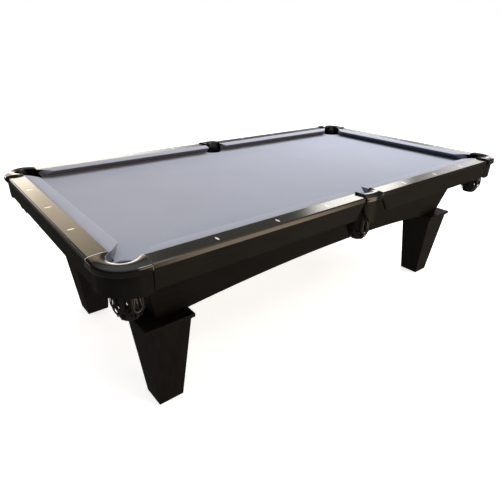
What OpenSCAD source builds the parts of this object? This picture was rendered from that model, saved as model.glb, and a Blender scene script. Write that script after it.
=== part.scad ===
// Drop pocket pool table with a three piece slate bed, mitre-free pocket castings,
// leather nets, flush aprons, a tapered arched cabinet and four tapered square legs.
// X runs along the table, Y across it and Z up. The origin is on the floor under its centre.
// Left and right are -X and +X, front and back are -Y and +Y.

/* [Playing field] */
// Length between the cushion noses
field_l = 2235.2; // [2200:0.1:2260]
// Width between the cushion noses
field_w = 1117.6; // [1090:0.1:1140]
// Height of the cloth above the floor
bed_z = 748; // [742:1:754]
// Thickness of the bed cloth
cloth_t = 1; // [0.8:0.1:1.2]
// Thickness of the slate
slate_t = 25; // [22:1:27]
// How far the slate reaches out past the cushion noses
slate_reach = 81.2; // [78:0.1:84]
// Thickness of the wooden strips glued under the slate
backing_t = 19; // [16:1:21]

/* [Rails] */
// Width from the cushion nose to the outer edge
rail_w = 129.3; // [128:0.1:132]
// Height of the rail top above the cloth
rail_h = 43; // [42:0.1:44]
// Width of the cloth covered cushion
cushion_w = 58; // [56:0.5:60]
// Height of the lip that covers the top of the apron
lip_h = 19; // [16:1:22]
// Radius of the upper outer edge
edge_r = 7; // [3:0.5:9]
// Length of the pearl sights, across the rail
sight_l = 30; // [24:1:34]
// Width of the pearl sights
sight_w = 10; // [8:1:12]

/* [Pockets] */
// Mouth of a corner pocket between the cushion tips
corner_mouth = 124.5; // [120:0.5:128]
// Mouth of a side pocket between the cushion tips
side_mouth = 133; // [130:0.5:136]
// Angle between a cushion nose and its corner jaw
corner_jaw = 142; // [140:0.5:144]
// Angle between a cushion nose and its side jaw
side_jaw = 104; // [103:0.5:105]
// Length of a corner casting along each rail
corner_len = 150; // [148:1:152]
// Outer radius of the table's corners
corner_r = 110; // [106:1:112]
// Radius of the hole in a corner casting
corner_hole_r = 50; // [48:0.5:51]
// Radius of the hole in a side casting
side_hole_r = 53; // [51:0.5:54]
// Radius of the pocket cuts in the slate
drop_r = 62; // [61:0.5:63]
// How far the castings' roll stands out past the table's sides
roll_out = 10.5; // [9:0.5:11]
// Largest outer radius of a net
net_r = 62; // [60:0.5:64]
// Radius of the dish at the foot of a net
dish_r = 34; // [31:1:38]
// Depth of the corner nets below the slate backing
net_depth = 133; // [125:1:145]
// How much deeper the side nets hang
side_net_drop = 8; // [0:1:10]

/* [Aprons and skirts] */
// Thickness of the aprons and corner skirts
apron_t = 17; // [15:1:18]
// How far the aprons are set back from the rail lip
apron_step = 2; // [1:0.5:3]
// Height of the apron's lower edge above the floor
apron_z = 695; // [692:1:700]
// Height of a corner skirt's lower edge above the floor
skirt_z = 684; // [683:1:690]
// Thickness of the side skirts
shield_t = 8; // [6:1:9]

/* [Cabinet] */
// Height of the cabinet's lower corners above the floor
cab_z = 430; // [425:1:435]
// Half length of the cabinet at its lower corners
cab_hx = 1010; // [1000:1:1015]
// Half width of the cabinet at its lower corners
cab_hy = 478; // [474:1:482]
// How much the cabinet widens on each side per unit of height
cab_taper = 0.227; // [0.2:0.001:0.24]
// Thickness of the panels
panel_t = 25; // [22:1:26]
// Rise of the arch under the long sides
side_arch = 50; // [40:1:55]
// Rise of the arch under the ends
end_arch = 25; // [15:1:30]

/* [Legs] */
// Distance of the leg axis from the table's centre, along it
leg_x = 975; // [970:1:980]
// Distance of the leg axis from the table's centre, across it
leg_y = 424.5; // [420:0.5:428]
// Width of a leg at the floor
foot_w = 114; // [110:1:118]
// Width of a leg below its top plate
leg_w = 190; // [184:1:194]
// Width of the top plate
plate_w = 215; // [210:1:218]
// Thickness of the top plate
plate_t = 16; // [14:1:18]
// Radius of the leveller pads
pad_r = 38; // [34:1:39]
// Radius of the leveller stems
stem_r = 8; // [7:0.5:9]

/* [Hidden] */
$fn = 64;
big = 3000;
gap = 0.3;

half_l = field_l / 2;
half_w = field_w / 2;
out_x = half_l + rail_w;
out_y = half_w + rail_w;
top_z = bed_z + rail_h;
slate_hx = half_l + slate_reach;
slate_hy = half_w + slate_reach;
slate_z = bed_z - cloth_t - slate_t;
cab_top = slate_z - backing_t;
slate_joint = slate_hx / 3;

// Jaws, as tip position and run per unit of depth behind the nose
corner_tip = corner_mouth / sqrt(2);
corner_slope = tan(corner_jaw - 90);
side_slope = tan(side_jaw - 90);
jaw_facing = 2.5;
corner_turn = 180 - corner_jaw;

// Pocket centres, the corner ones set in by the same amount from both outer edges.
// The throat of each casting runs on along the jaws.
corner_c = 94;
pocket_x = out_x - corner_c;
pocket_y = out_y - corner_c;
side_pocket_y = half_w + 38;
side_drop_y = half_w + 63;
side_net_y = half_w + 60;
side_half = 57;
side_start = half_w + cushion_w + gap;
rail_end_x = out_x - corner_len;
rail_end_y = out_y - corner_len;

// Castings
rim_z = top_z - 15;
rim_t = 24;
roll_r = 14;
roll_in = 60;
roll_crown = 80;
liner_t = 5;
bulge = 8;
bulge_r = (pow(side_half, 2) + pow(bulge, 2)) / (2 * bulge);
bulge_y = out_y + bulge / 2 - bulge_r;

// Rail section, outwards from the nose and up from the cloth
nose_h = 36.5;
cover_t = 1;
lip_u = rail_w - apron_step - apron_t - gap;
groove_w = 3;
groove_d = 6;
rubber_u = 34;
rubber_base_u = 40;
rubber_base_v = 14;
sight_t = 1.5;
sight_u = rail_w - 35.6;
sight_step = field_l / 8;

// Fixings
rail_bolt_r = 5;
rail_bolt_u = 62;
rail_bolt_reach = 28;
side_bolt_x = [180, 540, 920];
end_bolt_y = [-330, 0, 330];
bolt_play = 0.2;
screw_r = 3;
screw_head_r = 6;
screw_in = 30;
screw_y = cab_hy + cab_taper * (cab_top - cab_z) - 16;
screw_x = [120, 350, 450, 1000];
leg_bolt_r = 6;
leg_bolt_l = 100;
leg_bolt_xy = [[905, 345], [905, 415], [955, 415]];
block_t = 38;

// Cabinet
cab_h = cab_top - cab_z;
cab_grow = cab_taper * cab_h;
beam_w = 90;
beam_h = 100;
stringer_w = 45;
backing_in = 500;

// Legs
leg_h = cab_z - plate_t;
flare_h = 12;
flare_w = plate_w - 4;
pad_t = 12;
socket_d = 6;
stem_l = 80;
hex_r = 14;
hex_h = 7;
recess_r = pad_r + 3;
recess_h = 26;
stem_play = 0.1;

black = [0.05, 0.045, 0.04];
satin = [0.09, 0.08, 0.07];
felt = [0.62, 0.64, 0.69];

// ---------- placing ----------

// Moves a shape made for the right back quarter to any quarter
module quarter(sx, sy) {
    mirror([sx < 0 ? 1 : 0, 0, 0])
        mirror([0, sy < 0 ? 1 : 0, 0])
            children();
}

// From rail coordinates, run along X and outwards along Y, to the back rails
module on_back() {
    translate([0, half_w, bed_z]) children();
}

// From rail coordinates to the right end rail
module on_right() {
    translate([half_l, 0, bed_z]) rotate(-90) children();
}

module four() {
    for (sx = [-1, 1], sy = [-1, 1]) quarter(sx, sy) children();
}

// ---------- bed ----------

// Outline of the bed with its six pocket cuts
module bed_plan(grow) {
    difference() {
        square([2 * (slate_hx + grow), 2 * (slate_hy + grow)], center = true);
        for (sx = [-1, 1], sy = [-1, 1])
            translate([sx * pocket_x, sy * pocket_y]) {
                circle(drop_r - grow);
                scale([sx, sy]) square(2 * drop_r);
            }
        for (sy = [-1, 1])
            translate([0, sy * side_drop_y]) circle(drop_r - grow);
    }
}

// A round cutter at every rail bolt
module at_rail_bolts() {
    four() for (x = side_bolt_x) translate([x, half_w + rail_bolt_u, 0]) children();
    for (s = [-1, 1], y = end_bolt_y)
        translate([s * (half_l + rail_bolt_u), y, 0]) children();
}

module at_slate_screws() {
    four() for (x = screw_x) translate([x, screw_y, 0]) children();
}

module slate_piece(x0, x1) {
    difference() {
        translate([0, 0, slate_z]) linear_extrude(slate_t) intersection() {
            bed_plan(0);
            translate([x0, -big / 2]) square([x1 - x0, big]);
        }
        at_rail_bolts() translate([0, 0, slate_z - 1])
            cylinder(r = rail_bolt_r + 1, h = slate_t + 2);
        at_slate_screws() translate([0, 0, slate_z - 1])
            cylinder(r = screw_r + bolt_play, h = slate_t + 2);
        at_slate_screws() translate([0, 0, slate_z + slate_t - screw_head_r])
            cylinder(r1 = 0, r2 = screw_head_r + bolt_play, h = screw_head_r + bolt_play);
    }
}

module slate(x0, x1) {
    color("dimgray") slate_piece(x0, x1);
}

// A strip between two opposite corners, kept clear of its neighbours
module strip(x0, y0, x1, y1) {
    translate([x0 + gap / 2, y0 + gap / 2, cab_top])
        cube([x1 - x0 - gap, y1 - y0 - gap, backing_t]);
}

// Strips under the slate's edges and under the joints between its pieces
module slate_backing() {
    joint_w = 60;
    end_x = cab_hx + joint_w / 2;
    color("burlywood") difference() {
        four() {
            strip(76, backing_in, slate_joint, slate_hy);
            strip(slate_joint, backing_in, pocket_x - 75, slate_hy);
            strip(slate_joint - joint_w, 0, slate_joint, backing_in);
            strip(slate_joint, 0, slate_joint + joint_w, backing_in);
            strip(end_x, 0, slate_hx, backing_in);
        }
        at_rail_bolts() translate([0, 0, cab_top - 1])
            cylinder(r = rail_bolt_r + 1, h = backing_t + 2);
        at_slate_screws() translate([0, 0, cab_top - 1])
            cylinder(r = screw_r + bolt_play, h = backing_t + 2);
    }
}

// The bed cloth covers the slate and is turned down over its edges
module bed_cloth() {
    color(felt) difference() {
        translate([0, 0, slate_z]) linear_extrude(slate_t + cloth_t) bed_plan(cloth_t);
        translate([0, 0, slate_z - 1]) linear_extrude(slate_t + 1) bed_plan(0);
        at_rail_bolts() translate([0, 0, slate_z]) cylinder(r = rail_bolt_r + 1, h = big);
    }
}

// ---------- rails and cushions ----------

// Cuts the cushion zone of a rail back to its jaw
module jaw_trim(tip, slope, inset) {
    set_back = inset * sqrt(1 + pow(slope, 2));
    clear = 10;
    translate([0, 0, -clear]) linear_extrude(rail_h + 2 * clear) polygon([
        [tip - set_back - slope * clear, -clear],
        [tip - set_back + slope * cushion_w, cushion_w],
        [tip + big / 10, cushion_w],
        [tip + big / 10, -clear]
    ]);
}

// A rail section swept from x0 to x1
module sweep(x0, x1) {
    translate([x0, 0, 0]) rotate([90, 0, 90]) linear_extrude(x1 - x0) children();
}

// A side rail from its side pocket to its corner pocket
module side_run(inset) {
    difference() {
        sweep(side_half, rail_end_x - gap) children();
        jaw_trim(half_l - corner_tip, corner_slope, inset);
        mirror([1, 0, 0]) jaw_trim(-side_mouth / 2, side_slope, inset);
    }
}

// An end rail between two corner pockets
module end_run(inset) {
    difference() {
        sweep(gap - rail_end_y, rail_end_y - gap) children();
        for (s = [0, 1]) mirror([s, 0, 0])
            jaw_trim(half_w - corner_tip, corner_slope, inset);
    }
}

// Hardwood rail with a sloped face for the rubber, a groove for the strip and an outer lip
module rail_section() {
    top_v = rail_h - cover_t;
    polygon([
        [rubber_base_u - 2, 0], [lip_u, 0], [lip_u, rail_h - lip_h], [rail_w, rail_h - lip_h],
        [rail_w, rail_h - edge_r], [rail_w - edge_r, rail_h - edge_r],
        [rail_w - edge_r, rail_h], [cushion_w, rail_h],
        [cushion_w, top_v - groove_d], [cushion_w - groove_w, top_v - groove_d],
        [cushion_w - groove_w, top_v], [rubber_u, top_v], [rubber_base_u, rubber_base_v]
    ]);
    translate([rail_w - edge_r, rail_h - edge_r]) circle(edge_r);
}

// Cushion rubber, a wedge with its nose towards the field
module rubber_section() {
    polygon([
        [1.1, nose_h], [3.8, nose_h + 1.7], [rubber_u, rail_h - cover_t],
        [rubber_base_u, rubber_base_v], [20.5, 20.4], [3.6, nose_h - 3.1]
    ]);
}

// Cloth over the top, nose and underside of the rubber
module cover_section() {
    polygon([
        [cushion_w, rail_h - cover_t], [rubber_u, rail_h - cover_t], [3.8, nose_h + 1.7],
        [1.1, nose_h], [3.6, nose_h - 3.1], [20.5, 20.4],
        [rubber_base_u, rubber_base_v], [rubber_base_u - 2, 0],
        [rubber_base_u - 3, 0], [rubber_base_u - 1.2, rubber_base_v - 0.7],
        [20, 19.2], [2.8, nose_h - 3.8], [0, nose_h], [3.4, nose_h + 2.7],
        [rubber_u, rail_h], [cushion_w, rail_h]
    ]);
}

module strip_section() {
    translate([cushion_w - groove_w, rail_h - cover_t - groove_d]) square([groove_w, groove_d]);
}

// A pointed oval, long across the rail
module sight_plan() {
    r = (pow(sight_l, 2) + pow(sight_w, 2)) / (4 * sight_w);
    intersection() {
        translate([sight_w / 2 - r, 0]) circle(r);
        translate([r - sight_w / 2, 0]) circle(r);
    }
}

module sights(at) {
    for (x = at) translate([x * sight_step, sight_u, rail_h - sight_t])
        linear_extrude(sight_t) sight_plan();
}

module bolt_bores(at) {
    for (x = at) translate([x, rail_bolt_u, -1])
        cylinder(r = rail_bolt_r + bolt_play, h = rail_bolt_reach + 3);
}

module side_rail() {
    difference() {
        side_run(jaw_facing) rail_section();
        sights([1, 2, 3]);
        bolt_bores(side_bolt_x);
    }
}

module end_rail() {
    difference() {
        end_run(jaw_facing) rail_section();
        sights([-1, 0, 1]);
        bolt_bores(end_bolt_y);
    }
}

module rail_side(sx, sy) {
    color(black) quarter(sx, sy) on_back() side_rail();
}

module rail_end(sx) {
    color(black) quarter(sx, 1) on_right() end_rail();
}

module cushion_side(sx, sy) {
    color(felt) quarter(sx, sy) on_back() side_run(0) cover_section();
}

module cushion_end(sx) {
    color(felt) quarter(sx, 1) on_right() end_run(0) cover_section();
}

module cushion_rubber() {
    color("darkkhaki") {
        four() on_back() side_run(jaw_facing) rubber_section();
        for (sx = [-1, 1]) quarter(sx, 1) on_right() end_run(jaw_facing) rubber_section();
    }
}

module feather_strips() {
    color("tan") {
        four() on_back() side_run(jaw_facing) strip_section();
        for (sx = [-1, 1]) quarter(sx, 1) on_right() end_run(jaw_facing) strip_section();
    }
}

module rail_sights() {
    color("ivory") {
        four() on_back() sights([1, 2, 3]);
        for (sx = [-1, 1]) quarter(sx, 1) on_right() sights([-1, 0, 1]);
    }
}

// ---------- pockets ----------

// Outer outline of a corner, set in by a distance
module corner_plan(inset) {
    arm = corner_len - corner_r;
    translate([rail_end_x, rail_end_y]) {
        square([arm, corner_len - inset]);
        square([corner_len - inset, arm]);
        translate([arm, arm]) circle(corner_r - inset);
    }
}

// Hole of a corner pocket with the throat that leads to it
module corner_throat(grow) {
    r = corner_hole_r + grow;
    s = sin(corner_turn);
    c = cos(corner_turn);
    run = 200;
    translate([pocket_x, pocket_y]) {
        circle(r);
        polygon([
            [-r * s, r * c], [-r * s - run * c, r * c - run * s],
            [r * c - run * s, -r * s - run * c], [r * c, -r * s]
        ]);
    }
}

module corner_zone() {
    translate([rail_end_x, rail_end_y]) square(corner_len + roll_out);
}

// Section of a casting's top and its outer roll, outwards from the centre of the corner's arc
module roll_section(inner) {
    edge = corner_r + roll_out;
    roll_z = rim_z + roll_r / 2;
    reach = [edge - roll_r - roll_crown, roll_z - rim_z - rim_t];
    // The straight fall from the crown meets the round at this angle
    last = 90 + asin(roll_r / norm(reach)) - atan2(-reach[1], reach[0]);
    round_steps = 8;
    round = [for (i = [0:round_steps]) let (a = last * i / round_steps)
        [edge - roll_r + roll_r * cos(a), roll_z + roll_r * sin(a)]];
    polygon(concat(
        [[inner, rim_z], [edge - 2, rim_z], [edge, rim_z + 2]],
        round,
        [[roll_crown, rim_z + rim_t], [inner, rim_z + rim_t]]
    ));
}

// Roll along both arms and round the corner
module corner_roll() {
    arm = corner_len - corner_r;
    translate([rail_end_x + arm, rail_end_y + arm, 0]) {
        rotate_extrude(angle = 90) roll_section(roll_in);
        translate([-arm, 0, 0]) rotate([90, 0, 90]) linear_extrude(arm) roll_section(roll_in);
        rotate([90, 0, 0]) linear_extrude(arm) roll_section(roll_in);
    }
}

module corner_casting(sx, sy) {
    color(black) quarter(sx, sy) difference() {
        union() {
            corner_roll();
            translate([0, 0, rim_z]) linear_extrude(rim_t) intersection() {
                corner_plan(corner_r - roll_in - 4);
                corner_zone();
            }
            translate([0, 0, bed_z + gap]) linear_extrude(rim_z - bed_z) intersection() {
                corner_throat(liner_t);
                corner_zone();
            }
            translate([0, 0, cab_top]) linear_extrude(bed_z - cab_top + 1) intersection() {
                corner_throat(liner_t);
                translate([pocket_x, pocket_y]) circle(drop_r - cloth_t - 1);
            }
        }
        translate([0, 0, cab_top - 1]) linear_extrude(big) corner_throat(0);
    }
}

// Hole of a side pocket with its throat
module side_throat(grow) {
    r = side_hole_r + grow;
    turn = side_jaw - 90;
    run = 100;
    translate([0, side_pocket_y]) {
        circle(r);
        polygon([
            [-r * cos(turn), r * sin(turn)], [r * cos(turn), r * sin(turn)],
            [r * cos(turn) + run * sin(turn), r * sin(turn) - run * cos(turn)],
            [-r * cos(turn) - run * sin(turn), r * sin(turn) - run * cos(turn)]
        ]);
    }
}

module side_zone() {
    translate([gap - side_half, side_start]) square([2 * (side_half - gap), 2 * corner_r]);
}

// The same section swept along the shallow arc of a side casting
module side_roll() {
    arc_in = side_start - bulge_y - 2 * gap;
    sweep_a = asin((side_half + gap) / arc_in) + 5;
    shift = bulge_r - corner_r;
    intersection() {
        translate([0, bulge_y, 0])
            rotate(90 - sweep_a) rotate_extrude(angle = 2 * sweep_a)
                translate([shift, 0]) roll_section(arc_in - shift);
        translate([gap - side_half, side_start, rim_z - 1])
            cube([2 * (side_half - gap), 2 * corner_r, rim_t + 2]);
    }
}

module side_casting(sy) {
    color(black) quarter(1, sy) difference() {
        union() {
            side_roll();
            translate([0, 0, cab_top]) linear_extrude(rim_z - cab_top + 1) intersection() {
                side_throat(liner_t);
                side_zone();
            }
        }
        translate([0, 0, cab_top - 1]) linear_extrude(big) side_throat(0);
    }
}

// A round net open at the top, with its wall a leather strap thick and a dish for its foot
module net(depth) {
    wall = 6;
    top_r = corner_hole_r + liner_t;
    neck = cab_top - skirt_z + 4;
    low = cab_top - depth;
    rotate_extrude() polygon([
        [corner_hole_r, cab_top], [top_r, cab_top], [top_r, cab_top - neck],
        [net_r - 1, low + 88], [net_r, low + 55], [net_r - 2, low + 30],
        [net_r - 8, low + 22], [dish_r + 3, low + 20], [dish_r + 1, low + 4],
        [dish_r - 2, low], [0, low],
        [0, low + wall], [dish_r - 5, low + wall], [dish_r - 3, low + 26],
        [net_r - 10, low + 28], [net_r - 2 - wall, low + 36], [net_r - wall, low + 55],
        [net_r - 1 - wall, low + 86], [corner_hole_r, cab_top - neck]
    ]);
}

module corner_nets() {
    color(black) four() translate([pocket_x, pocket_y, 0]) net(net_depth);
}

module side_nets() {
    color(black) for (sy = [-1, 1]) translate([0, sy * side_net_y, 0]) net(net_depth + side_net_drop);
}

// ---------- skirts and aprons ----------

// A curved board round the corner, its lower edge hollowed and its ends rounded
module corner_skirt(sx, sy) {
    lobe_r = 10;
    skirt_gap = 3;
    rise = 7;
    chord = 78;
    hollow_r = (pow(chord, 2) + pow(rise, 2)) / (2 * rise);
    color(satin) quarter(sx, sy) difference() {
        translate([0, 0, skirt_z]) linear_extrude(rim_z - skirt_z) difference() {
            intersection() {
                corner_plan(apron_step);
                translate([rail_end_x + skirt_gap, rail_end_y + skirt_gap]) square(corner_len);
            }
            corner_plan(apron_step + apron_t);
            translate([rail_end_x - 1, rail_end_y - 1])
                square(corner_len - apron_step - apron_t - corner_r / 2);
        }
        translate([rail_end_x + skirt_gap, out_y, skirt_z]) lobe_cut(lobe_r);
        translate([out_x, rail_end_y + skirt_gap, skirt_z])
            rotate(90) mirror([0, 1, 0]) lobe_cut(lobe_r);
        translate([pocket_x, pocket_y, skirt_z + rise - hollow_r])
            rotate([90, 0, 135]) cylinder(r = hollow_r, h = big / 10, center = true);
    }
}

// Removes a square corner and leaves a quarter round, for an edge that runs along X
module lobe_cut(r) {
    depth = 60;
    translate([-1, depth / 4, -1]) rotate([90, 0, 0]) linear_extrude(depth) difference() {
        square(r + 1);
        translate([r + 1, r + 1]) circle(r);
    }
}

// A shield that hangs under a side casting between the aprons, bowed outwards
module side_skirt(sy) {
    shield_w = 66;
    tip_r = 32;
    tip_z = skirt_z + 10;
    bow = 12;
    bow_r = (pow(shield_w, 2) + pow(bow, 2)) / (2 * bow);
    bow_y = out_y + 8 - bow_r;
    half = [
        [side_half - gap, rim_z], [side_half - gap, rim_z - 6], [shield_w, rim_z - 16],
        [shield_w - 4, rim_z - 41], [shield_w - 9, rim_z - 60], [25, tip_z - 19]
    ];
    other = [for (i = [len(half) - 1:-1:0]) [-half[i][0], half[i][1]]];
    color(satin) quarter(1, sy) difference() {
        translate([0, out_y + 2 * bow, 0]) rotate([90, 0, 0]) {
            linear_extrude(5 * bow) polygon(concat(half, other));
            translate([0, tip_z, 0]) cylinder(r = tip_r, h = 5 * bow);
        }
        translate([0, bow_y, 0]) cylinder(r = bow_r - shield_t, h = big);
        translate([0, bow_y, 0]) linear_extrude(big) difference() {
            translate([-2 * shield_w, 0]) square([4 * shield_w, 2 * bow_r]);
            circle(bow_r);
        }
    }
}

apron_top = top_z - lip_h;
apron_in = out_y - apron_step - apron_t;
apron_slope = 56;
apron_clear = 5;

// Side apron, cut on the slant beside the side pocket
module side_apron(sx, sy) {
    color(satin) quarter(sx, sy)
        translate([0, apron_in + apron_t, 0]) rotate([90, 0, 0]) linear_extrude(apron_t)
            polygon([
                [side_half + apron_clear, apron_top], [rail_end_x - gap, apron_top],
                [rail_end_x - gap, apron_z], [side_half + apron_clear + apron_slope, apron_z]
            ]);
}

module end_apron(sx) {
    color(satin) quarter(sx, 1)
        translate([out_x - apron_step - apron_t, gap - rail_end_y, apron_z])
            cube([apron_t, 2 * (rail_end_y - gap), apron_top - apron_z]);
}

// ---------- cabinet ----------

// Trapezium of the cabinet seen along one axis, its half width set in by a distance
module cab_face(half, inset) {
    polygon([
        [inset - half, cab_z], [half - inset, cab_z],
        [half + cab_grow - inset, cab_top], [inset - half - cab_grow, cab_top]
    ]);
}

// Sloping board seen end on
module cab_board(half) {
    polygon([
        [half - panel_t, cab_z], [half, cab_z],
        [half + cab_grow, cab_top], [half + cab_grow - panel_t, cab_top]
    ]);
}

module along_y() {
    rotate([90, 0, 0]) linear_extrude(big, center = true) children();
}

module along_x() {
    rotate([90, 0, 90]) linear_extrude(big, center = true) children();
}

// Circle that cuts a shallow arch of the given half span and rise
module arch(half, rise) {
    r = (pow(half, 2) + pow(rise, 2)) / (2 * rise);
    translate([0, cab_z + rise - r]) circle(r, $fn = 720);
}

module cabinet_side(sy) {
    color(satin) quarter(1, sy) difference() {
        intersection() {
            along_x() cab_board(cab_hy);
            along_y() cab_face(cab_hx, 0);
        }
        along_y() arch(leg_x - plate_w / 2, side_arch);
        screw_bores();
    }
}

module cabinet_end(sx) {
    color(satin) quarter(sx, 1) difference() {
        intersection() {
            along_y() cab_board(cab_hx);
            along_x() cab_face(cab_hy, panel_t);
        }
        along_x() arch(leg_y - plate_w / 2, end_arch);
    }
}

module screw_bores() {
    at_slate_screws() translate([0, 0, cab_top - screw_in])
        cylinder(r = screw_r + bolt_play, h = big);
}

// Beams under the slate joints, stringers between them and blocks over the legs
module frame_beams() {
    beam_z = cab_top - beam_h;
    inner = slate_joint - beam_w / 2 - gap;
    color("burlywood") intersection() {
        union() {
            for (s = [-1, 1]) translate([s * slate_joint - beam_w / 2, -big / 2, beam_z])
                cube([beam_w, big, beam_h]);
            translate([-inner, -stringer_w / 2, beam_z]) cube([2 * inner, stringer_w, beam_h]);
            for (s = [0, 1]) mirror([s, 0, 0])
                translate([slate_joint + beam_w / 2 + gap, -stringer_w / 2, beam_z])
                    cube([big, stringer_w, beam_h]);
            four() difference() {
                translate([leg_x - plate_w / 2, leg_y - plate_w / 2, cab_z])
                    cube([plate_w, plate_w, block_t]);
                for (p = leg_bolt_xy) translate([p[0], p[1], cab_z - 1])
                    cylinder(r = leg_bolt_r + bolt_play, h = block_t + 2);
            }
        }
        along_y() cab_face(cab_hx, panel_t);
        along_x() cab_face(cab_hy, panel_t);
    }
}

// ---------- legs and levellers ----------

// Square frustum about the leg axis
module square_taper(w0, w1, h) {
    face = [[-w0 / 2, 0], [w0 / 2, 0], [w1 / 2, h], [-w1 / 2, h]];
    intersection() {
        along_y() polygon(face);
        along_x() polygon(face);
    }
}

module leg(sx, sy) {
    color(satin) quarter(sx, sy) difference() {
        translate([leg_x, leg_y, 0]) {
            square_taper(foot_w, leg_w, leg_h - flare_h);
            translate([0, 0, leg_h - flare_h]) square_taper(leg_w, flare_w, flare_h);
            translate([-plate_w / 2, -plate_w / 2, leg_h]) cube([plate_w, plate_w, plate_t]);
        }
        translate([leg_x, leg_y, -1]) cylinder(r = recess_r, h = recess_h + 1);
        translate([leg_x, leg_y, 0]) cylinder(r = stem_r + stem_play, h = pad_t + stem_l + 2);
        for (p = leg_bolt_xy) translate([p[0], p[1], cab_z + block_t - leg_bolt_l - 1])
            cylinder(r = leg_bolt_r + bolt_play, h = leg_bolt_l);
    }
}

module pad(sx, sy) {
    color("dimgray") quarter(sx, sy) translate([leg_x, leg_y, 0]) rotate_extrude() polygon([
        [0, 0], [pad_r, 0], [pad_r, pad_t / 2], [hex_r + 2, pad_t],
        [stem_r + stem_play, pad_t], [stem_r + stem_play, pad_t - socket_d], [0, pad_t - socket_d]
    ]);
}

// Threaded stem with a collar for a spanner
module stem(sx, sy) {
    color("silver") quarter(sx, sy) translate([leg_x, leg_y, pad_t - socket_d + gap]) {
        cylinder(r = stem_r, h = stem_l + socket_d);
        translate([0, 0, socket_d + 1]) cylinder(r = hex_r, h = hex_h, $fn = 6);
    }
}

// ---------- fasteners ----------

module rail_bolts() {
    washer_r = 12;
    washer_t = 2;
    head_r = 9;
    head_h = 7;
    color("silver") at_rail_bolts() translate([0, 0, cab_top]) {
        translate([0, 0, -washer_t]) {
            cylinder(r = washer_r, h = washer_t);
            translate([0, 0, -head_h]) cylinder(r = head_r, h = head_h, $fn = 6);
        }
        translate([0, 0, -1])
            cylinder(r = rail_bolt_r, h = bed_z - cab_top + rail_bolt_reach + 1);
    }
}

module slate_screws() {
    color("silver") at_slate_screws() {
        translate([0, 0, cab_top - screw_in + 1])
            cylinder(r = screw_r, h = slate_z + slate_t - cab_top + screw_in - 2);
        translate([0, 0, slate_z + slate_t - screw_head_r])
            cylinder(r1 = 0, r2 = screw_head_r, h = screw_head_r);
    }
}

module leg_bolts() {
    head_r = 10;
    head_h = 8;
    color("silver") four() for (p = leg_bolt_xy) translate([p[0], p[1], cab_z + block_t]) {
        cylinder(r = head_r, h = head_h, $fn = 6);
        translate([0, 0, -leg_bolt_l]) cylinder(r = leg_bolt_r, h = leg_bolt_l + 1);
    }
}

slate(-slate_hx, -slate_joint);  // slate_left
slate(-slate_joint, slate_joint);  // slate_centre
slate(slate_joint, slate_hx);  // slate_right
slate_backing();
bed_cloth();
rail_end(-1);  // rail_end_left
rail_end(1);  // rail_end_right
rail_side(-1, -1);  // rail_front_left
rail_side(1, -1);  // rail_front_right
rail_side(-1, 1);  // rail_back_left
rail_side(1, 1);  // rail_back_right
cushion_end(-1);  // cushion_end_left
cushion_end(1);  // cushion_end_right
cushion_side(-1, -1);  // cushion_front_left
cushion_side(1, -1);  // cushion_front_right
cushion_side(-1, 1);  // cushion_back_left
cushion_side(1, 1);  // cushion_back_right
cushion_rubber();
feather_strips();
rail_sights();
corner_casting(-1, -1);  // casting_front_left
corner_casting(1, -1);  // casting_front_right
corner_casting(-1, 1);  // casting_back_left
corner_casting(1, 1);  // casting_back_right
side_casting(-1);  // casting_side_front
side_casting(1);  // casting_side_back
corner_nets();
side_nets();
corner_skirt(-1, -1);  // skirt_front_left
corner_skirt(1, -1);  // skirt_front_right
corner_skirt(-1, 1);  // skirt_back_left
corner_skirt(1, 1);  // skirt_back_right
side_skirt(-1);  // skirt_side_front
side_skirt(1);  // skirt_side_back
side_apron(-1, -1);  // apron_front_left
side_apron(1, -1);  // apron_front_right
side_apron(-1, 1);  // apron_back_left
side_apron(1, 1);  // apron_back_right
end_apron(-1);  // apron_end_left
end_apron(1);  // apron_end_right
cabinet_side(-1);  // cabinet_front
cabinet_side(1);  // cabinet_back
cabinet_end(-1);  // cabinet_end_left
cabinet_end(1);  // cabinet_end_right
frame_beams();
leg(-1, -1);  // leg_front_left
leg(1, -1);  // leg_front_right
leg(-1, 1);  // leg_back_left
leg(1, 1);  // leg_back_right
pad(-1, -1);  // pad_front_left
pad(1, -1);  // pad_front_right
pad(-1, 1);  // pad_back_left
pad(1, 1);  // pad_back_right
stem(-1, -1);  // stem_front_left
stem(1, -1);  // stem_front_right
stem(-1, 1);  // stem_back_left
stem(1, 1);  // stem_back_right
rail_bolts();
slate_screws();
leg_bolts();
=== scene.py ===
"""Looks of the drop pocket pool table: camera, light, materials, cloth, cushions and leather nets."""

import math

import bmesh
import bpy
from mathutils import Matrix, Vector


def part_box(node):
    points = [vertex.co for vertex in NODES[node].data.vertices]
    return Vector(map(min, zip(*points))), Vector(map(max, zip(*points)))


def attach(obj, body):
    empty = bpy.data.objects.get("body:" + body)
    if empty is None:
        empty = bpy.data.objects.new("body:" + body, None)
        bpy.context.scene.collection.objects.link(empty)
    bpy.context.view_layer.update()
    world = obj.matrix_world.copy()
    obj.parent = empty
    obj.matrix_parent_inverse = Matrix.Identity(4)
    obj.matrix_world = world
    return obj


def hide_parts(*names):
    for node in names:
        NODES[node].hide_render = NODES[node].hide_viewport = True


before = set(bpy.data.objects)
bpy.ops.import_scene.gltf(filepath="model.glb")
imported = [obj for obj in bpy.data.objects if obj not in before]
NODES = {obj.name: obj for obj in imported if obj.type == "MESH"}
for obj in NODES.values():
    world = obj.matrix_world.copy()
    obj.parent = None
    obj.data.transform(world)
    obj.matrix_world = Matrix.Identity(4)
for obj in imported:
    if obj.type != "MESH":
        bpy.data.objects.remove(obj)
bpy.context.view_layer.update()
ROOT = "table"
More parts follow.
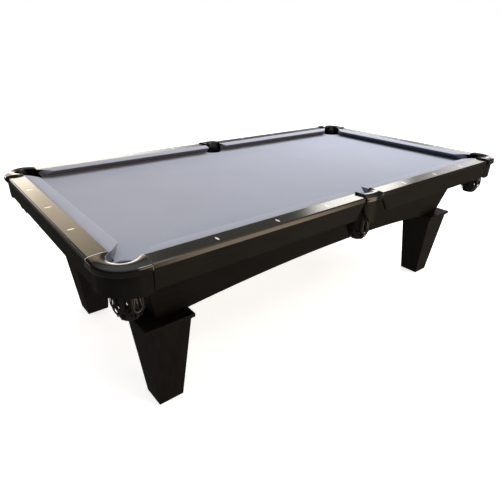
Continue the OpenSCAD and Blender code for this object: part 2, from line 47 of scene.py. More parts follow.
QUARTERS = {
    "front_left": (-1, -1),
    "front_right": (1, -1),
    "back_left": (-1, 1),
    "back_right": (1, 1),
}

# ---------------------------------------------------------------- camera

EYE = Vector((-1.5861, -1.7523, 1.3928))
AZIMUTH = math.radians(50.89)
ELEVATION = math.radians(-25.9)
ROLL = math.radians(1.09)
LENS = 30.48


def add_camera():
    """The camera at the photograph's viewing angle, rolled a little."""
    look = Vector(
        (
            math.cos(ELEVATION) * math.cos(AZIMUTH),
            math.cos(ELEVATION) * math.sin(AZIMUTH),
            math.sin(ELEVATION),
        )
    )
    right = look.cross(Vector((0, 0, 1))).normalized()
    up = right.cross(look)
    side = right * math.cos(ROLL) + up * math.sin(ROLL)
    top = up * math.cos(ROLL) - right * math.sin(ROLL)
    data = bpy.data.cameras.new("camera")
    data.lens = LENS
    data.sensor_width = 36
    data.clip_start = 0.05
    data.clip_end = 60
    camera = bpy.data.objects.new("camera", data)
    bpy.context.scene.collection.objects.link(camera)
    turn = Matrix((side, top, -look)).transposed().to_4x4()
    camera.matrix_world = Matrix.Translation(EYE) @ turn
    bpy.context.scene.camera = camera


# ---------------------------------------------------------------- lights and floor


def area_light(name, place, target, size, power, colour):
    """A soft lamp at place, turned to target, that no reflection shows."""
    data = bpy.data.lights.new(name, "AREA")
    data.shape = "RECTANGLE"
    data.size, data.size_y = size
    data.energy = power
    data.color = colour
    lamp = bpy.data.objects.new(name, data)
    bpy.context.scene.collection.objects.link(lamp)
    lamp.location = place
    lamp.rotation_euler = (Vector(target) - Vector(place)).to_track_quat("-Z", "Y").to_euler()
    lamp.visible_glossy = False


# Strengths of the pale sky overhead, the white behind the table and the band at its left
OVERHEAD = 0.9
HORIZON = 1.3
BAND = 2.6
# Colour of the studio below and round the horizon, where nothing else shines
LOW = (0.10, 0.09, 0.075)
# Azimuths of the white behind the table and of the band, in degrees
HORIZON_AZIMUTH = 51
BAND_AZIMUTH = 84
# Soft glows round the studio: azimuth, elevation, inner and outer reach in degrees, colour, strength
GLOWS = [
    (36.5, 17.2, 4, 7.5, (1.0, 0.97, 0.90), 4.2),
    (81, 16, 2, 18.5, (1.0, 0.82, 0.57), 1.6),
    (81.5, 14.8, 1, 4, (1.0, 0.88, 0.68), 1.2),
    (-58, 9, 8, 26, (1.0, 0.74, 0.48), 3.5),
    (-50, -24, 5, 17, (1.0, 0.80, 0.58), 2.6),
    (-60, 52, 3, 9, (1.0, 0.96, 0.86), 9.0),
    (20, 11.2, 3, 11.5, (1.0, 0.96, 0.93), 1.7),
    (58, 25, 6, 24, (1.0, 0.95, 0.78), 0.15),
]


def direction(azimuth, elevation):
    """A unit vector towards an azimuth, anticlockwise from +X, and an elevation, in degrees."""
    a, e = math.radians(azimuth), math.radians(elevation)
    return (math.cos(e) * math.cos(a), math.cos(e) * math.sin(a), math.sin(e))


def set_span(node, from_min, from_max, to_min, to_max):
    """Sets the ends of a Map Range node."""
    ends = {"From Min": from_min, "From Max": from_max, "To Min": to_min, "To Max": to_max}
    for socket, value in ends.items():
        node.inputs[socket].default_value = value


def add_world():
    """A studio white low down behind the table, dim behind the camera and pale overhead.

    The camera itself sees plain white past the edge of the floor.
    """
    world = bpy.data.worlds.new("studio")
    bpy.context.scene.world = world
    world.use_nodes = True
    tree = world.node_tree
    links = tree.links
    towards = tree.nodes.new("ShaderNodeTexCoord").outputs["Generated"]

    def near(target, low, high, to_low=0.0, to_high=1.0):
        """Runs from to_low to to_high as the cosine of the angle to target goes from low to high."""
        dot = tree.nodes.new("ShaderNodeVectorMath")
        dot.operation = "DOT_PRODUCT"
        links.new(towards, dot.inputs[0])
        dot.inputs[1].default_value = target
        span = tree.nodes.new("ShaderNodeMapRange")
        span.interpolation_type = "SMOOTHSTEP"
        links.new(dot.outputs["Value"], span.inputs["Value"])
        set_span(span, low, high, to_low, to_high)
        return span.outputs[0]

    def scaled(colour, *factors):
        """A colour times every factor, each a number or an output."""
        out = None
        for factor in factors:
            node = tree.nodes.new("ShaderNodeVectorMath")
            node.operation = "SCALE"
            if out is None:
                node.inputs[0].default_value = colour
            else:
                links.new(out, node.inputs[0])
            if isinstance(factor, float):
                node.inputs["Scale"].default_value = factor
            else:
                links.new(factor, node.inputs["Scale"])
            out = node.outputs[0]
        return out

    up = (0.0, 0.0, 1.0)
    sky = near(up, -0.05, -0.03)
    behind = near(direction(HORIZON_AZIMUTH, 0), 0.1, 0.5)
    behind_left = near(direction(BAND_AZIMUTH, 0), 0.85, 0.95)
    layers = [
        scaled((0.98, 0.99, 1.0), near(up, 0.45, 0.95), OVERHEAD),
        scaled((1.0, 1.0, 1.0), sky, near(up, 0.17, 0.10), behind, HORIZON),
        scaled((1.0, 0.99, 0.97), sky, near(up, 0.285, 0.215), behind_left, BAND),
        scaled(LOW, near(up, 0.05, -0.05, 0.4, 1.0)),
    ]
    for azimuth, elevation, inner, outer, colour, strength in GLOWS:
        low, high = math.cos(math.radians(outer)), math.cos(math.radians(inner))
        layers.append(scaled(colour, near(direction(azimuth, elevation), low, high), strength))
    total = layers[0]
    for layer in layers[1:]:
        add = tree.nodes.new("ShaderNodeVectorMath")
        links.new(total, add.inputs[0])
        links.new(layer, add.inputs[1])
        total = add.outputs[0]
    # Seen directly, past the edge of the floor, the studio is plain white
    seen = tree.nodes.new("ShaderNodeLightPath").outputs["Is Camera Ray"]
    backdrop = tree.nodes.new("ShaderNodeMix")
    backdrop.data_type = "VECTOR"
    links.new(seen, backdrop.inputs[0])
    links.new(total, backdrop.inputs[4])
    backdrop.inputs[5].default_value = (1.0, 1.0, 1.0)
    links.new(backdrop.outputs[1], tree.nodes["Background"].inputs["Color"])
    tree.nodes["Background"].inputs["Strength"].default_value = 1.0


# ---------------------------------------------------------------- material kit


# A noise texture's values lie between about these two
NOISE_LOW = 0.25
NOISE_HIGH = 0.75


class Paint:
    """A procedural material in the making, with its textures in the table's frame, in metres."""

    def __init__(self, name, roughness=0.5, metallic=0.0):
        self.material = bpy.data.materials.new(name)
        self.material.use_nodes = True
        self.tree = self.material.node_tree
        self.shader = self.tree.nodes["Principled BSDF"]
        self.coords = self.tree.nodes.new("ShaderNodeTexCoord").outputs["Object"]
        self.height = None
        self.set("Roughness", roughness)
        self.set("Metallic", metallic)

    def set(self, socket, value):
        self.shader.inputs[socket].default_value = value

    def add(self, kind, **values):
        node = self.tree.nodes.new(kind)
        for key, value in values.items():
            setattr(node, key, value)
        return node

    def link(self, a, b):
        self.tree.links.new(a, b)

    def stretched(self, scale):
        node = self.add("ShaderNodeMapping")
        node.inputs["Scale"].default_value = scale
        self.link(self.coords, node.inputs["Vector"])
        return node.outputs[0]

    def noise(self, scale, detail, stretch=(1, 1, 1), distortion=0.0):
        node = self.add("ShaderNodeTexNoise")
        node.inputs["Scale"].default_value = scale
        node.inputs["Detail"].default_value = detail
        node.inputs["Distortion"].default_value = distortion
        self.link(self.stretched(stretch), node.inputs["Vector"])
        return node.outputs["Fac"]

    def cells(self, scale):
        node = self.add("ShaderNodeTexVoronoi", feature="F1")
        node.inputs["Scale"].default_value = scale
        self.link(self.coords, node.inputs["Vector"])
        return node.outputs["Distance"]

    def waves(self, scale, axis, distortion, detail, stretch=(1, 1, 1)):
        node = self.add("ShaderNodeTexWave", bands_direction=axis)
        node.inputs["Scale"].default_value = scale
        node.inputs["Distortion"].default_value = distortion
        node.inputs["Detail"].default_value = detail
        self.link(self.stretched(stretch), node.inputs["Vector"])
        return node.outputs["Fac"]

    def ramp(self, factor, *stops):
        """Colours a value by stops of (position, colour)."""
        node = self.add("ShaderNodeValToRGB")
        elements = node.color_ramp.elements
        while len(elements) < len(stops):
            elements.new(0.5)
        for element, (position, colour) in zip(elements, stops):
            element.position = position
            element.color = (*colour, 1)
        self.link(factor, node.inputs[0])
        return node.outputs[0]

    def mix(self, factor, a, b):
        """Goes from a to b with factor. Each of them is a colour or an output."""
        node = self.add("ShaderNodeMix", data_type="RGBA", blend_type="MIX")
        self.link(factor, node.inputs[0])
        for socket, value in ((node.inputs[6], a), (node.inputs[7], b)):
            if isinstance(value, tuple):
                socket.default_value = (*value, 1)
            else:
                self.link(value, socket)
        return node.outputs[2]

    def span(self, factor, low, high):
        """Stretches a noise to run from low to high."""
        node = self.add("ShaderNodeMapRange")
        set_span(node, NOISE_LOW, NOISE_HIGH, low, high)
        self.link(factor, node.inputs["Value"])
        return node.outputs[0]

    def colour(self, output):
        self.link(output, self.shader.inputs["Base Color"])

    def roughness(self, output):
        self.link(output, self.shader.inputs["Roughness"])

    def bump(self, factor, distance, strength=1.0):
        """Adds a bump on top of those already there."""
        node = self.add("ShaderNodeBump")
        node.inputs["Distance"].default_value = distance
        node.inputs["Strength"].default_value = strength
        self.link(factor, node.inputs["Height"])
        if self.height is not None:
            self.link(self.height, node.inputs["Normal"])
        self.height = node.outputs[0]
        self.link(self.height, self.shader.inputs["Normal"])


# How a wood texture is squeezed so that its grain runs along an axis
GRAIN = {"X": (1, 14, 14), "Y": (14, 1, 14), "Z": (14, 14, 1)}
# The axis that growth rings are counted along, for each direction of the grain
RING_AXIS = {"X": "Y", "Y": "X", "Z": "X"}


def felt(name, light, dark):
    """Napped worsted cloth, with fibres, a faint twill and slow mottling, and painted shade on faces
    that look down.
    """
    p = Paint(name, 0.85)
    slow = p.noise(5, 2)
    fibres = p.noise(620, 4, (1, 0.35, 1), 0.6)
    nap = p.mix(p.span(slow, 0.0, 0.5), p.ramp(fibres, (0.3, dark), (0.7, light)), light)
    # Painted shade: faces that look down, such as the cushions' undersides, are darkened to 0.3 of
    # the dark fibres' colour
    facing = p.add("ShaderNodeSeparateXYZ")
    p.link(p.add("ShaderNodeNewGeometry").outputs["Normal"], facing.inputs[0])
    under = p.add("ShaderNodeMapRange", interpolation_type="SMOOTHSTEP")
    set_span(under, 0.35, -0.25, 0.0, 1.0)
    p.link(facing.outputs["Z"], under.inputs["Value"])
    p.colour(p.mix(under.outputs[0], nap, tuple(0.30 * c for c in dark)))
    p.roughness(p.span(fibres, 0.70, 0.85))
    p.set("Sheen Weight", 0.12)
    p.set("Sheen Roughness", 0.45)
    p.set("Sheen Tint", (0.85, 0.87, 0.92, 1))
    p.set("Specular IOR Level", 0.5)
    p.bump(fibres, 0.0004, 0.5)
    p.bump(p.waves(700, "DIAGONAL", 0.6, 1), 0.0002, 0.25)
    return p.material


def lacquer(name, grain, light, dark, roughness, coat, gleam):
    """Dark lacquer over open grained wood."""
    p = Paint(name)
    stretch = GRAIN[grain]
    figure = p.noise(7, 5, stretch, 1.2)
    pores = p.noise(60, 3, stretch, 0.3)
    slow = p.noise(2.5, 2)
    tone = p.ramp(figure, (0.35, dark), (0.65, light))
    p.colour(p.mix(p.span(slow, 0.0, 0.35), tone, dark))
    p.roughness(p.span(slow, *roughness))
    p.set("Specular IOR Level", gleam)
    p.set("Coat Weight", coat)
    p.set("Coat Roughness", 0.12)
    p.bump(pores, 0.0003, 0.22)
    p.bump(p.noise(9, 2), 0.0012, 0.10)
    return p.material


def leather(name, light, dark, roughness, coat):
    """Waxed leather with a pebbled grain and paler high spots."""
    p = Paint(name)
    pebbles = p.cells(420)
    creases = p.noise(90, 4, distortion=0.8)
    p.colour(p.mix(p.span(creases, 0.0, 1.0), p.ramp(pebbles, (0.0, light), (0.6, dark)), dark))
    p.roughness(p.span(creases, *roughness))
    p.set("Coat Weight", coat)
    p.set("Coat Roughness", 0.25)
    p.bump(pebbles, 0.0005, 0.35)
    p.bump(creases, 0.0008, 0.25)
    return p.material


def gloss(name, light, dark, roughness, coat, grain, gleam=0.5):
    """Moulded skin with a faint orange peel of the given grain."""
    p = Paint(name)
    peel = p.noise(grain, 3)
    slow = p.noise(12, 2)
    p.colour(p.ramp(slow, (0.35, dark), (0.7, light)))
    p.roughness(p.span(slow, *roughness))
    p.set("Specular IOR Level", gleam)
    p.set("Coat Weight", coat)
    p.set("Coat Roughness", 0.06)
    p.bump(peel, 0.0003, 0.12)
    return p.material


def pearl():
    """Mother of pearl with a slow pale swirl."""
    p = Paint("mother_of_pearl", 0.18)
    swirl = p.noise(70, 4, distortion=2.5)
    shell = p.ramp(
        swirl,
        (0.30, (0.70, 0.72, 0.66)),
        (0.45, (0.93, 0.90, 0.84)),
        (0.58, (0.84, 0.86, 0.88)),
        (0.72, (0.90, 0.80, 0.78)),
    )
    p.colour(shell)
    p.roughness(p.span(swirl, 0.12, 0.26))
    p.set("Coat Weight", 0.7)
    p.set("Coat Roughness", 0.05)
    p.bump(swirl, 0.0003, 0.15)
    return p.material


def stone():
    """Honed slate with fine specks and flat beds."""
    p = Paint("honed_slate")
    specks = p.noise(160, 6)
    beds = p.noise(9, 4, (1, 1, 20), 0.4)
    tone = p.ramp(beds, (0.3, (0.10, 0.11, 0.12)), (0.7, (0.20, 0.21, 0.23)))
    p.colour(p.mix(p.span(specks, 0.0, 0.6), tone, (0.13, 0.14, 0.15)))
    p.roughness(p.span(specks, 0.55, 0.8))
    p.bump(specks, 0.0004, 0.4)
    return p.material


def raw_wood(name, grain, light, dark):
    """Plain sawn wood with rings and pores along its grain."""
    p = Paint(name)
    stretch = GRAIN[grain]
    rings = p.waves(5, RING_AXIS[grain], 5, 3, stretch)
    pores = p.noise(50, 4, stretch, 0.3)
    tone = p.ramp(rings, (0.1, dark), (0.8, light))
    p.colour(p.mix(p.span(pores, 0.0, 0.5), tone, dark))
    p.roughness(p.span(pores, 0.6, 0.8))
    p.bump(pores, 0.0006, 0.4)
    return p.material


def rubber():
    """Dusty gum rubber."""
    p = Paint("gum_rubber")
    dust = p.noise(140, 4)
    p.colour(p.ramp(dust, (0.35, (0.10, 0.07, 0.045)), (0.75, (0.17, 0.12, 0.08))))
    p.roughness(p.span(dust, 0.55, 0.8))
    p.bump(dust, 0.0004, 0.3)
    return p.material


def steel(name, colour, roughness):
    """Brushed or plated steel."""
    p = Paint(name, metallic=1.0)
    brushed = p.noise(260, 3, (1, 1, 9))
    dark = tuple(0.7 * c for c in colour)
    p.colour(p.ramp(brushed, (0.3, dark), (0.7, colour)))
    p.roughness(p.span(brushed, *roughness))
    p.bump(brushed, 0.0001, 0.2)
    return p.material


def dress(prefix, material, bevel=0.0):
    """Gives every CAD node whose name starts with prefix a material and, if asked, eased edges."""
    for name, obj in NODES.items():
        if name.startswith(prefix):
            obj.data.materials.clear()
            obj.data.materials.append(material)
            if bevel:
                ease(obj, bevel)


def ease(obj, width, segments=2, angle=35):
    """Rounds off the edges of a piece that are sharper than angle, in degrees."""
    m = obj.modifiers.new("eased_edges", "BEVEL")
    m.width = width
    m.segments = segments
    m.limit_method = "ANGLE"
    m.angle_limit = math.radians(angle)
    m.harden_normals = False


# ---------------------------------------------------------------- mesh kit


# Faces that meet at less than this angle, in degrees, are shaded as one surface
SMOOTH_UP_TO = 55


def mesh_object(name, verts, faces, material, fill=None):
    """A piece of the table. fill is a loop of point numbers to close with triangles."""
    mesh = bpy.data.meshes.new(name)
    mesh.from_pydata([tuple(v) for v in verts], [], faces)
    mesh.validate()
    bm = bmesh.new()
    bm.from_mesh(mesh)
    if fill is not None:
        bm.verts.ensure_lookup_table()
        loop = set(fill)
        rim = [e for e in bm.edges if e.verts[0].index in loop and e.verts[1].index in loop]
        bmesh.ops.triangle_fill(bm, edges=rim, use_beauty=True, normal=(0, 0, 1))
    bmesh.ops.recalc_face_normals(bm, faces=bm.faces)
    bm.to_mesh(mesh)
    bm.free()
    mesh.polygons.foreach_set("use_smooth", [True] * len(mesh.polygons))
    mesh.set_sharp_from_angle(angle=math.radians(SMOOTH_UP_TO))
    mesh.materials.append(material)
    obj = bpy.data.objects.new(name, mesh)
    bpy.context.scene.collection.objects.link(obj)
    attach(obj, ROOT)
    return obj


def tube(verts, faces, rings, closed=False):
    """Adds a closed tube through rings of points, capped at its ends unless it closes on itself."""
    start = len(verts)
    count = len(rings[0])
    for ring in rings:
        verts.extend(ring)
    pairs = len(rings) if closed else len(rings) - 1
    for i in range(pairs):
        a = start + i * count
        b = start + (i + 1) % len(rings) * count
        for j in range(count):
            k = (j + 1) % count
            faces.append((a + j, a + k, b + k, b + j))
    if not closed:
        faces.append(tuple(start + j for j in reversed(range(count))))
        faces.append(tuple(start + (len(rings) - 1) * count + j for j in range(count)))


# Sides of a strap's section, and steps round a hoop and round a dish
STRAP_SIDES = 8
HOOP_STEPS = 64
DISH_STEPS = 48


def strap_ring(centre, across, out, width, thickness):
    """A flat rounded section of a strap, lying along across, its thickness along out."""
    ring = []
    for i in range(STRAP_SIDES):
        a = 2 * math.pi * (i + 0.5) / STRAP_SIDES
        c, s = math.cos(a), math.sin(a)
        ring.append(
            centre
            + across * (math.copysign(abs(c) ** 0.6, c) * width / 2)
            + out * (math.copysign(abs(s) ** 0.8, s) * thickness / 2)
        )
    return ring


# ---------------------------------------------------------------- places, from the frame

slate_low, slate_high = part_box("slate_centre")
nose_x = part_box("cushion_end_right")[0].x
cushion_low, cushion_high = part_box("cushion_back_right")
nose_y = cushion_low.y
cushion_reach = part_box("cushion_end_right")[1].y
slate_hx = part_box("slate_right")[1].x
slate_hy = slate_high.y
bed_z = cushion_low.z
net_low, net_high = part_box("corner_nets")
side_net_low, side_net_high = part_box("side_nets")
net_r = side_net_high.x
corner_x = net_high.x - net_r
corner_y = net_high.y - net_r
side_y = side_net_high.y - net_r
rim_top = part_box("casting_back_right")[1].z

# Thickness of the bed cloth
CLOTH = 0.001
# Radius of the pocket cuts in the slates, and how far a side one's centre is behind the nose
DROP_R = 0.062
SIDE_DROP_OUT = 0.063
# Widths of the pocket mouths between the noses, and the angles of their jaws in degrees
CORNER_MOUTH = 0.1245
SIDE_MOUTH = 0.133
CORNER_JAW = 142
SIDE_JAW = 104
CORNER_SLOPE = math.tan(math.radians(CORNER_JAW - 90))
SIDE_SLOPE = math.tan(math.radians(SIDE_JAW - 90))


# ---------------------------------------------------------------- bed cloth


# Radius of the bend where the cloth turns down over the edge of the slates
TURN = 0.003
# Depth of the small pleats that the cloth is drawn into round the pockets
PLEAT = 0.0016


def arc(cx, cy, r, a0, a1, steps):
    """Points along an arc from angle a0 to angle a1."""
    angles = [a0 + (a1 - a0) * i / steps for i in range(steps + 1)]
    return [(cx + r * math.cos(a), cy + r * math.sin(a)) for a in angles]


def bed_outline(grow):
    """Outline of the bed, anticlockwise from the right, with True where it runs round a pocket."""
    hx, hy, r = slate_hx + grow, slate_hy + grow, DROP_R - grow
    dx = hx - corner_x
    side_c = nose_y + SIDE_DROP_OUT
    half = math.sqrt(r * r - (hy - side_c) ** 2)
    rise = math.atan2(hy - side_c, half)
    first = -math.atan2(math.sqrt(r * r - dx * dx), dx)
    last = -(math.pi * 1.5 + first)
    corner = arc(corner_x, corner_y, r, first, last, 32)
    side = arc(0, side_c, r, rise, -math.pi - rise, 48)
    points = []

    def straight(a, b, steps=24):
        for i in range(1, steps):
            t = i / steps
            points.append((a[0] + (b[0] - a[0]) * t, a[1] + (b[1] - a[1]) * t, False))

    def bend(line):
        points.extend((x, y, True) for x, y in line)

    def flip(line, sx, sy):
        out = [(x * sx, y * sy) for x, y in line]
        return out if sx * sy > 0 else out[::-1]

    loops = [
        flip(corner, 1, 1),
        side,
        flip(corner, -1, 1),
        flip(corner, -1, -1),
        [(-x, -y) for x, y in side],
        flip(corner, 1, -1),
    ]
    for i, line in enumerate(loops):
        bend(line)
        straight(line[-1], loops[(i + 1) % len(loops)][0])
    return points


def add_bed_cloth(material):
    """One cloth over the slates, its edge turned down and drawn into small pleats at the pockets."""
    outline = bed_outline(CLOTH)
    n = len(outline)
    plan = [Vector((x, y, 0)) for x, y, _ in outline]
    normals = []
    for i in range(n):
        along = plan[(i + 1) % n] - plan[i - 1]
        normals.append(Vector((along.y, -along.x, 0)).normalized())
    drop = slate_high.z - slate_low.z
    # Each ring of the cloth's edge, as (out from the outline, down from the bed)
    levels = [(-0.012, 0), (-TURN, 0), (-TURN * 0.45, TURN * 0.18), (-TURN * 0.1, TURN * 0.6)]
    levels += [(0, TURN * 1.2), (0, drop * 0.4), (0, drop * 0.7), (0, drop)]
    verts, faces = [], []
    for out, down in levels:
        for i, (p, q) in enumerate(zip(plan, normals)):
            deep = max(0.0, down / drop - 0.15)
            pleat = -PLEAT * deep * (1 + math.cos(i * 2.2)) if outline[i][2] else 0.0
            verts.append(p + q * (out + pleat) + Vector((0, 0, bed_z - down)))
    for k in range(len(levels) - 1):
        for i in range(n):
            j = (i + 1) % n
            faces.append((k * n + i, k * n + j, (k + 1) * n + j, (k + 1) * n + i))
    obj = mesh_object("bed_cloth_felt", verts, faces, material, fill=range(n))
    area = sum(f.area for f in obj.data.polygons)
    m = obj.modifiers.new("thickness", "SOLIDIFY")
    m.thickness = CLOTH * 0.9
    m.offset = -1
    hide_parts("bed_cloth")
    flat = (2 * (slate_hx + CLOTH + drop), 2 * (slate_hy + CLOTH + drop))
    return flat, area


# ---------------------------------------------------------------- cushions

# Section of a covered cushion as (out from the nose, up from the bed), in millimetres
SECTION = [
    (38.0, 0.0),
    (40.0, 0.3),
    (58.0, 39.0),
    (58.0, 42.4),
    (57.2, 42.9),
    (46.0, 42.9),
    (34.0, 42.8),
    (18.0, 41.0),
    (8.0, 39.6),
    (3.6, 38.9),
    (1.4, 38.1),
    (0.3, 37.2),
    (0.0, 36.4),
    (0.3, 35.5),
    (1.3, 34.2),
    (3.4, 32.3),
    (9.0, 28.4),
    (20.0, 19.8),
    (30.0, 15.6),
    (36.0, 13.4),
    (37.4, 11.0),
    (37.7, 6.0),
]


CUSHION_STEPS = 60


def add_cushion(name, node, place, low_end, high_end, material):
    """A cushion from low_end to high_end, each a function of the distance out from the nose."""
    verts, faces, rings = [], [], []
    for i in range(CUSHION_STEPS + 1):
        # Closer together towards the jaws
        t = 0.5 - 0.5 * math.cos(math.pi * (i / CUSHION_STEPS))
        ring = []
        for u, v in SECTION:
            u, v = u / 1000, v / 1000
            a, b = low_end(u), high_end(u)
            ring.append(place(a + (b - a) * t, u, v))
        rings.append(ring)
    tube(verts, faces, rings)
    obj = mesh_object(name, verts, faces, material)
    ease(obj, 0.0022, 3, 50)
    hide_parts(node)


def add_cushions(material):
    corner_tip = CORNER_MOUTH / math.sqrt(2)
    for quarter, (sx, sy) in QUARTERS.items():
        add_cushion(
            f"cushion_cloth_{quarter}",
            f"cushion_{quarter}",
            lambda x, u, v, sx=sx, sy=sy: Vector((sx * x, sy * (nose_y + u), bed_z + v)),
            lambda u: max(cushion_low.x, SIDE_MOUTH / 2 - SIDE_SLOPE * u),
            lambda u: min(cushion_high.x, nose_x - corner_tip + CORNER_SLOPE * u),
            material,
        )
    for side, sx in (("left", -1), ("right", 1)):
        add_cushion(
            f"cushion_cloth_end_{side}",
            f"cushion_end_{side}",
            lambda y, u, v, sx=sx: Vector((sx * (nose_x + u), y, bed_z + v)),
            lambda u: -min(cushion_reach, nose_y - corner_tip + CORNER_SLOPE * u),
            lambda u: min(cushion_reach, nose_y - corner_tip + CORNER_SLOPE * u),
            material,
        )


# ---------------------------------------------------------------- nets

# Height of the collar at the top of a net
COLLAR = 0.021
# Loops round a net, and straps slanting each way inside them
PETALS = 10
STRAPS = 12
# Radius of the dish at the bottom of a net
DISH_R = 0.034
# How far apart the samples are that round off a net's outline
EASE_STEP = 0.006
# Widths and thicknesses of the leather
LOOP_W, LOOP_T = 0.0088, 0.0030
STRAP_W, STRAP_T = 0.0108, 0.0026
TAB_T = 0.0028
# The collar, and the band stitched round its lower edge
COLLAR_R, COLLAR_T = 0.0520, 0.0034
BAND_R, BAND_W, BAND_T = 0.0531, 0.0060, 0.0040
# Half width of a loop, as a share of the step from one loop to the next
LOOP_SPREAD = 0.62
# Where the tabs start on the loops, and where they end on the dish, as (radius, height)
TAB_TOP = (0.0500, 0.0400)
TAB_END = (DISH_R + 0.0045, 0.0125)
# The height above the foot of a net where its loops turn round, and how far they hang below that
LOOP_FOOT = 0.066
LOOP_SAG = 0.026
# How far every other loop stands out, and how far one layer of straps lies inside the other
WEAVE = 0.0016
LAYER = -0.0030
# How far a strap turns round the net on its way down, in radians
SLANT = 0.75
# The loops of a net, as (height above its foot, radius)
LOOP_SHAPE = [
    (0.133, 0.0500),
    (0.110, 0.0520),
    (0.088, 0.0550),
    (0.066, 0.0568),
    (0.052, 0.0560),
    (0.034, 0.0505),
]
# The same for the straps inside them, which end in the dish
STRAP_SHAPE = [
    (0.125, 0.0460),
    (0.100, 0.0475),
    (0.074, 0.0485),
    (0.052, 0.0465),
    (0.034, 0.0400),
    (0.012, 0.0345),
]


def shaped(points, x):
    """Straight lines through points with falling x."""
    for (x0, y0), (x1, y1) in zip(points, points[1:]):
        if x >= x1:
            t = min(1.0, max(0.0, (x0 - x) / (x0 - x1)))
            return y0 + (y1 - y0) * t
    return points[-1][1]


def eased(points, x):
    """The same lines with their corners rounded off."""
    return sum(shaped(points, x + k * EASE_STEP) for k in (-2, -1, 0, 1, 2)) / 5


def ribbon(verts, faces, path, width, thickness):
    """A flat strap along a path round the Z axis, its face turned outwards."""
    rings = []
    for i, p in enumerate(path):
        ahead = (path[min(i + 1, len(path) - 1)] - path[max(i - 1, 0)]).normalized()
        out = Vector((p.x, p.y, 0.0)).normalized()
        out = (out - ahead * out.dot(ahead)).normalized()
        across = ahead.cross(out).normalized()
        rings.append(strap_ring(p, across, out, width, thickness))
    tube(verts, faces, rings)


def hoop(verts, faces, radius, z, width, thickness):
    """A flat band round the Z axis."""
    rings = []
    up = Vector((0, 0, 1))
    for i in range(HOOP_STEPS):
        a = 2 * math.pi * i / HOOP_STEPS
        out = Vector((math.cos(a), math.sin(a), 0))
        rings.append(strap_ring(out * radius + up * z, up, out, width, thickness))
    tube(verts, faces, rings, closed=True)


def lathe(verts, faces, profile):
    """A closed profile of (radius, height) turned round the Z axis."""
    rings = []
    for i in range(DISH_STEPS):
        a = 2 * math.pi * i / DISH_STEPS
        rings.append([Vector((r * math.cos(a), r * math.sin(a), z)) for r, z in profile])
    tube(verts, faces, rings, closed=True)


def at(a, r, z):
    """A point at an angle, a radius and a height."""
    return Vector((r * math.cos(a), r * math.sin(a), z))


def loop_line(middle, top, half, lift, sag):
    """A U of strap hung from the collar, its two legs drawn together at the top.

    Its middle and its half width are angles round the net.
    """
    legs = 14
    start = top - 0.010
    way = []
    for k in range(legs + 1):
        t = k / legs
        spread = 0.80 + 0.20 * math.sin(math.pi * min(1, t * 0.8))
        way.append((half * spread, start - t * (start - LOOP_FOOT)))
    bend = [math.pi * k / 12 for k in range(1, 12)]
    way += [(half * 0.92 * math.cos(b), LOOP_FOOT - sag * math.sin(b)) for b in bend]
    way += [(-w, z) for w, z in way[legs::-1]]
    return [at(middle + w, eased(LOOP_SHAPE, z) + lift, z) for w, z in way]


def slant_line(start, top, turn, lift):
    """A strap from the collar that slants down to the dish."""
    steps = 20
    high, low = top - 0.012, 0.010
    line = []
    for k in range(steps + 1):
        t = k / steps
        z = high - t * (high - low)
        line.append(at(start + turn * t, eased(STRAP_SHAPE, z) + lift * (1 - t), z))
    return line


# A rivet's head, as (radius, height)
RIVET = [(0.0034, 0.0), (0.0034, 0.0008), (0.0026, 0.0017), (0.0012, 0.0021)]


def rivet(verts, faces, a):
    """The head of a rivet through a tab and the dish, at angle a."""
    out = at(a, 1.0, 0.0)
    side = Vector((-out.y, out.x, 0))
    centre = at(a, DISH_R + 0.0062, 0.0125)
    turns = [2 * math.pi * j / 10 for j in range(10)]
    rings = []
    for r, d in RIVET:
        middle = centre + out * d
        rings.append(
            [middle + side * (r * math.cos(b)) + Vector((0, 0, r * math.sin(b))) for b in turns]
        )
    tube(verts, faces, rings)


# Section of the dish at the bottom of a net, as (radius, height)
DISH_RIM = DISH_R + 0.002
DISH = [
    (0.002, 0.0017),
    (DISH_R - 0.010, 0.0007),
    (DISH_R - 0.003, 0.0013),
    (DISH_R, 0.0045),
    (DISH_RIM, 0.0120),
    (DISH_RIM + 0.0010, 0.0185),
    (DISH_RIM + 0.0004, 0.0212),
    (DISH_RIM - 0.0016, 0.0222),
    (DISH_RIM - 0.0036, 0.0205),
    (DISH_RIM - 0.0046, 0.0110),
    (DISH_R - 0.008, 0.0056),
    (0.002, 0.0052),
]


def add_net(name, node, cx, cy, foot, spin, material):
    """A bag of leather loops over two crossing layers of straps, from a collar to a riveted dish."""
    verts, faces = [], []
    top = net_high.z - foot
    pitch = 2 * math.pi / PETALS
    for i in range(PETALS):
        a = spin + pitch * (i + 0.5)
        lift = WEAVE if i % 2 else -WEAVE
        sag = LOOP_SAG + 0.002 * math.sin(2.3 * i + spin)
        ribbon(verts, faces, loop_line(a, top, LOOP_SPREAD * pitch, lift, sag), LOOP_W, LOOP_T)
        # The tab that ties the loop's foot to the dish
        tab = []
        for k in range(7):
            t = k / 6
            radius = TAB_TOP[0] + (TAB_END[0] - TAB_TOP[0]) * t
            z = TAB_TOP[1] - (TAB_TOP[1] - TAB_END[1]) * t - 0.003 * math.sin(math.pi * t)
            tab.append(at(a, radius, z))
        ribbon(verts, faces, tab, STRAP_W, TAB_T)
        rivet(verts, faces, a)
    for i in range(STRAPS):
        a = spin + 2 * math.pi * i / STRAPS
        for turn, layer in ((SLANT, 0.0), (-SLANT, LAYER)):
            line = slant_line(a - 0.5 * turn, top, turn, layer)
            ribbon(verts, faces, line, STRAP_W, STRAP_T)
    hoop(verts, faces, COLLAR_R, top - 0.5 * COLLAR - 0.0004, COLLAR - 0.001, COLLAR_T)
    hoop(verts, faces, BAND_R, top - COLLAR + 0.0015, BAND_W, BAND_T)
    lathe(verts, faces, DISH)
    place = Vector((cx, cy, foot))
    obj = mesh_object(name, [v + place for v in verts], faces, material)
    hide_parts(node)


